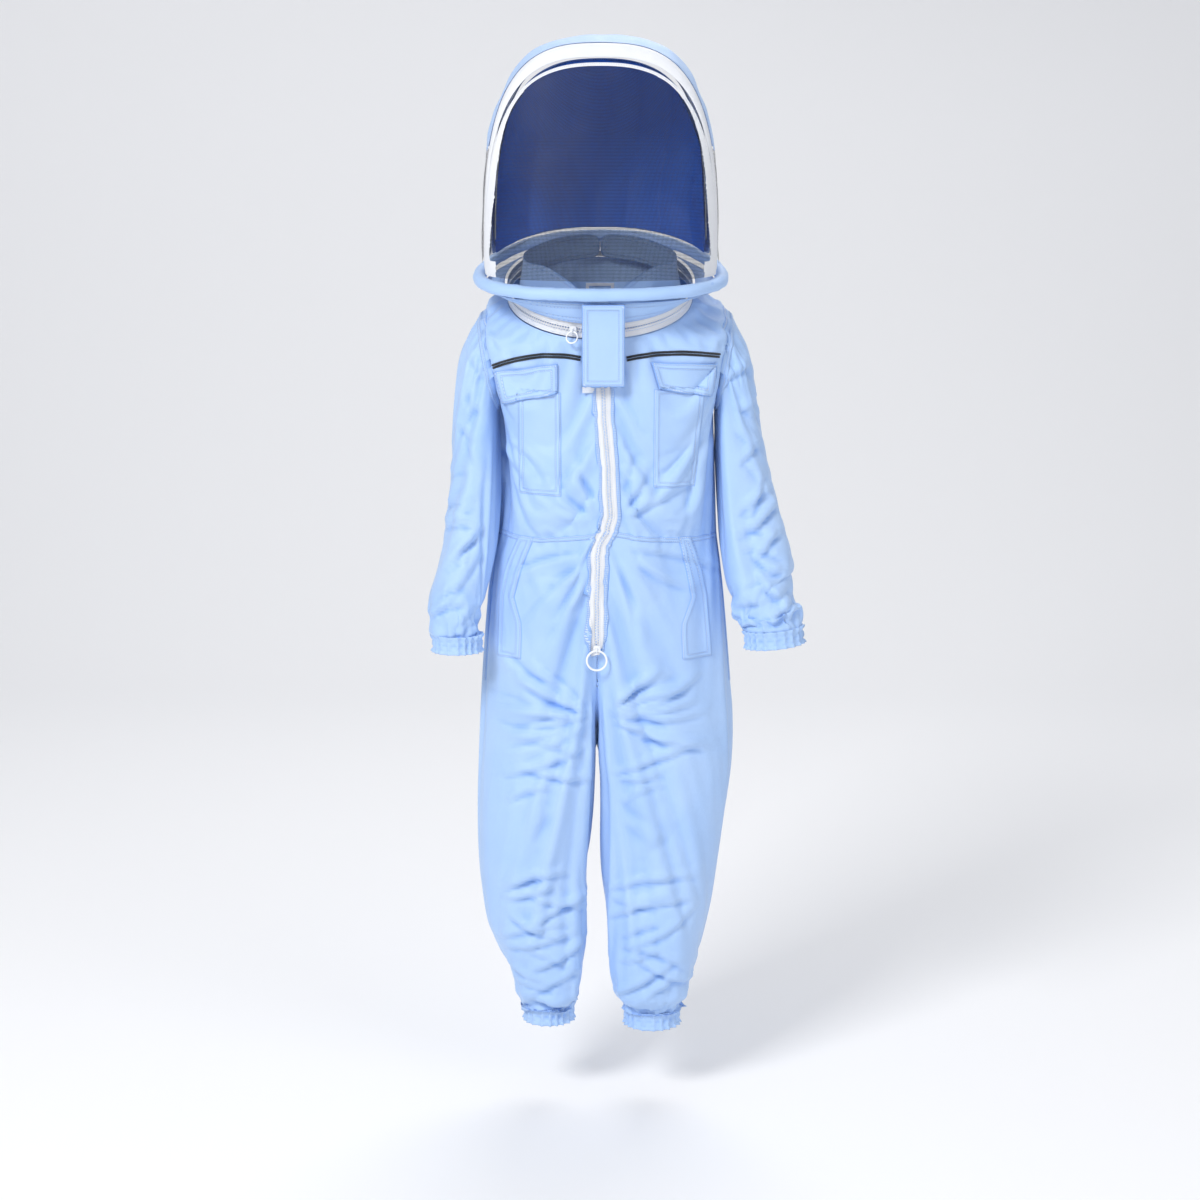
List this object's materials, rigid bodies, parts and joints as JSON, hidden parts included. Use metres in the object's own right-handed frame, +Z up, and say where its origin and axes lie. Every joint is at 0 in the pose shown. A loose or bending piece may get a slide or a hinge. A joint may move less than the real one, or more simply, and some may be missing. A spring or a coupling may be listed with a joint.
{
  "type": "beekeeping suit",
  "caption": "One-piece light blue cotton beekeeping coverall with a folding netting veil hood, front zip, round neck zip and patch pockets.",
  "frame": {"origin": "middle of the wearer's neck, level with the base of the veil", "axes": "+Z up, the wearer faces -Y, +X is the wearer's left"},
  "size_m": [0.5789, 0.3272, 1.5324],
  "materials": {
    "cotton": "woven light blue cotton twill, softly creased",
    "netting": "black coated open netting",
    "white_tape": "white ribbed tape with fine stitch rows",
    "white_plastic": "moulded white plastic",
    "piping": "black corded piping",
    "spring_wire": "drawn spring steel wire",
    "elastic": "white knitted elastic"
  },
  "bodies": {
    "coverall": {"front_bodice_left": "cotton", "front_bodice_right": "cotton", "back_bodice": "cotton", "trouser_front_left": "cotton", "trouser_front_right": "cotton", "trouser_back_left": "cotton", "trouser_back_right": "cotton", "ankle_cuff_left": "cotton", "ankle_cuff_right": "cotton", "ankle_elastic_left": "elastic", "ankle_elastic_right": "elastic", "waist_elastic": "elastic", "front_zip_tape_left": "white_tape", "front_zip_tape_right": "white_tape", "front_zip_teeth": "white_plastic", "chest_piping_left": "piping", "chest_piping_right": "piping", "chest_pocket_left": "cotton", "chest_pocket_right": "cotton", "tab_loop_patch": "white_tape", "hip_pocket_left": "cotton", "hip_pocket_right": "cotton", "hanger_loop": "cotton", "stand_collar_left": "cotton", "stand_collar_right": "cotton", "neck_zip_lower_tape": "white_tape", "neck_zip_teeth": "white_plastic"},
    "hood": {"neck_zip_upper_tape": "white_tape", "base_ring_wire": "spring_wire", "base_casing": "cotton", "hood_neck_band": "cotton", "front_veil": "netting", "front_arch_binding": "white_tape", "hood_crown": "cotton", "side_veil_right": "netting", "side_veil_left": "netting", "rear_arch_binding": "white_tape", "hood_back": "cotton", "front_hoop": "spring_wire", "rear_hoop": "spring_wire"},
    "chest_tab": {"chest_tab": "cotton", "tab_hook_patch": "white_tape"},
    "pocket_flap_left": {"pocket_flap_left": "cotton"},
    "pocket_flap_right": {"pocket_flap_right": "cotton"},
    "sleeve_left": {"sleeve_left": "cotton", "wrist_cuff_left": "cotton", "wrist_elastic_left": "elastic"},
    "sleeve_right": {"sleeve_right": "cotton", "wrist_cuff_right": "cotton", "wrist_elastic_right": "elastic"},
    "front_zip_top_slider": {"front_zip_top_slider": "white_plastic"},
    "front_zip_top_pull": {"front_zip_top_pull": "white_plastic"},
    "front_zip_bottom_slider": {"front_zip_bottom_slider": "white_plastic"},
    "front_zip_bottom_pull": {"front_zip_bottom_pull": "white_plastic"},
    "neck_zip_left_slider": {"neck_zip_left_slider": "white_plastic"},
    "neck_zip_left_pull": {"neck_zip_left_pull": "white_plastic"},
    "neck_zip_right_slider": {"neck_zip_right_slider": "white_plastic"},
    "neck_zip_right_pull": {"neck_zip_right_pull": "white_plastic"}
  },
  "joints": [
    {"name": "hood_fold", "type": "hinge", "parent": "coverall", "child": "hood", "pos_m": [0, 0.152, 0.034], "axis": [-1, 0, 0], "range_deg": [0, 160]},
    {"name": "chest_tab_lift", "type": "hinge", "parent": "hood", "child": "chest_tab", "pos_m": [0.005, -0.168, -0.042], "axis": [-1, 0, 0], "range_deg": [0, 150]},
    {"name": "pocket_flap_left_lift", "type": "hinge", "parent": "coverall", "child": "pocket_flap_left", "pos_m": [0.1236, -0.1214, -0.131], "axis": [-0.9471, -0.319, 0.036], "range_deg": [0, 120]},
    {"name": "pocket_flap_right_lift", "type": "hinge", "parent": "coverall", "child": "pocket_flap_right", "pos_m": [-0.109, -0.1206, -0.1385], "axis": [-0.9345, 0.3222, -0.1511], "range_deg": [0, 120]},
    {"name": "shoulder_left", "type": "hinge", "parent": "coverall", "child": "sleeve_left", "pos_m": [0.195, 0, -0.058], "axis": [0, -1, 0], "range_deg": [0, 50]},
    {"name": "shoulder_right", "type": "hinge", "parent": "coverall", "child": "sleeve_right", "pos_m": [-0.177, 0, -0.058], "axis": [0, 1, 0], "range_deg": [0, 50]},
    {"name": "front_zip_top_slide", "type": "slide", "parent": "coverall", "child": "front_zip_top_slider", "axis": [0.0611, -0.0091, -0.9981], "range_m": [0, 0.2]},
    {"name": "front_zip_top_pull_hang", "type": "hinge", "parent": "front_zip_top_slider", "child": "front_zip_top_pull", "pos_m": [0.00226, -0.13391, -0.131], "axis": [-1, 0, 0], "range_deg": [0, 10]},
    {"name": "front_zip_bottom_slide", "type": "slide", "parent": "coverall", "child": "front_zip_bottom_slider", "axis": [0.0115, -0.0398, 0.9991], "range_m": [0, 0.14]},
    {"name": "front_zip_bottom_pull_hang", "type": "hinge", "parent": "front_zip_bottom_slider", "child": "front_zip_bottom_pull", "pos_m": [-0.00488, -0.11777, -0.562], "axis": [-1, 0, 0], "range_deg": [0, 150]},
    {"name": "neck_zip_left_slide", "type": "hinge", "parent": "coverall", "child": "neck_zip_left_slider", "pos_m": [0, -0.008, -0.028], "axis": [0, -0.3907, 0.9205], "range_deg": [0, 150]},
    {"name": "neck_zip_left_pull_hang", "type": "hinge", "parent": "neck_zip_left_slider", "child": "neck_zip_left_pull", "pos_m": [-0.0051, -0.1425, -0.08509], "axis": [-0.9993, 0.0379, 0], "range_deg": [0, 18]},
    {"name": "neck_zip_right_slide", "type": "hinge", "parent": "coverall", "child": "neck_zip_right_slider", "pos_m": [0, -0.008, -0.028], "axis": [0, 0.3907, -0.9205], "range_deg": [0, 150]},
    {"name": "neck_zip_right_pull_hang", "type": "hinge", "parent": "neck_zip_right_slider", "child": "neck_zip_right_pull", "pos_m": [-0.0403, -0.13736, -0.08291], "axis": [-0.9548, 0.2974, 0], "range_deg": [0, 80]}
  ]
}
